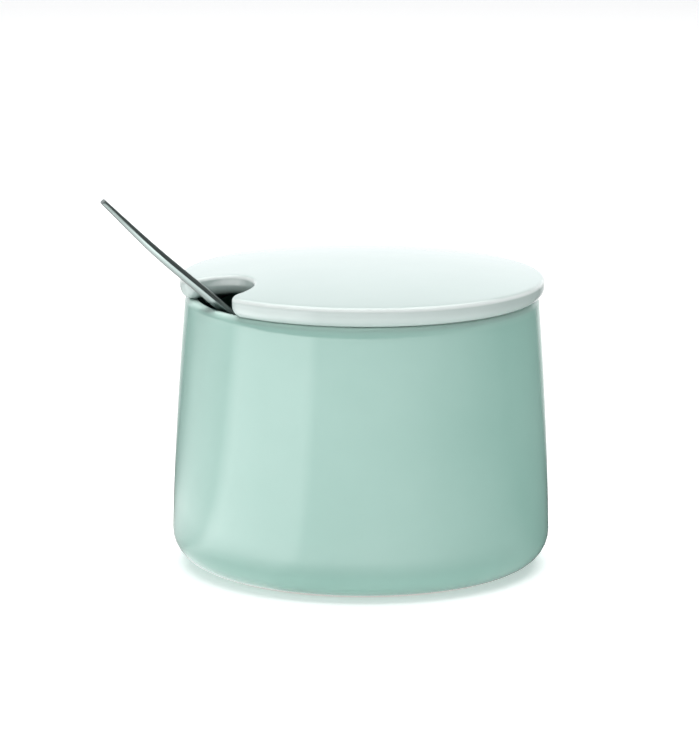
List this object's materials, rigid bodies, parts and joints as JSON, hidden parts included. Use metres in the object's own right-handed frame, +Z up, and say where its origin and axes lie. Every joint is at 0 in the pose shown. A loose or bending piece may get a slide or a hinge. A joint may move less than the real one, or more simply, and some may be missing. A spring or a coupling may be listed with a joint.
{
  "type": "sugar bowl",
  "caption": "Covered sugar bowl in glazed stoneware: straight-sided bowl, low domed lid with a round notch in its edge, and a slim steel spoon leaning out through the notch.",
  "frame": {"origin": "centre of the foot ring, on the surface that the bowl stands on", "axes": "+Z up along the shared axis of bowl and lid; -X from that axis towards the spoon notch; +Y completes a right-handed frame"},
  "size_m": [0.1228, 0.1, 0.1013],
  "materials": {
    "bowl_glaze": "glossy mint glaze",
    "lid_glaze": "glossy white glaze",
    "spoon_steel": "polished stainless steel"
  },
  "bodies": {
    "bowl": {"bowl": "bowl_glaze"},
    "lid": {"lid": "lid_glaze"},
    "spoon": {"spoon": "spoon_steel"}
  },
  "joints": [
    {"name": "lid_lift", "type": "slide", "parent": "bowl", "child": "lid", "axis": [0, 0, 1], "range_m": [0, 0.08]},
    {"name": "spoon_draw", "type": "slide", "parent": "bowl", "child": "spoon", "axis": [-0.6588, 0.1765, 0.7314], "range_m": [0, 0.045]}
  ]
}
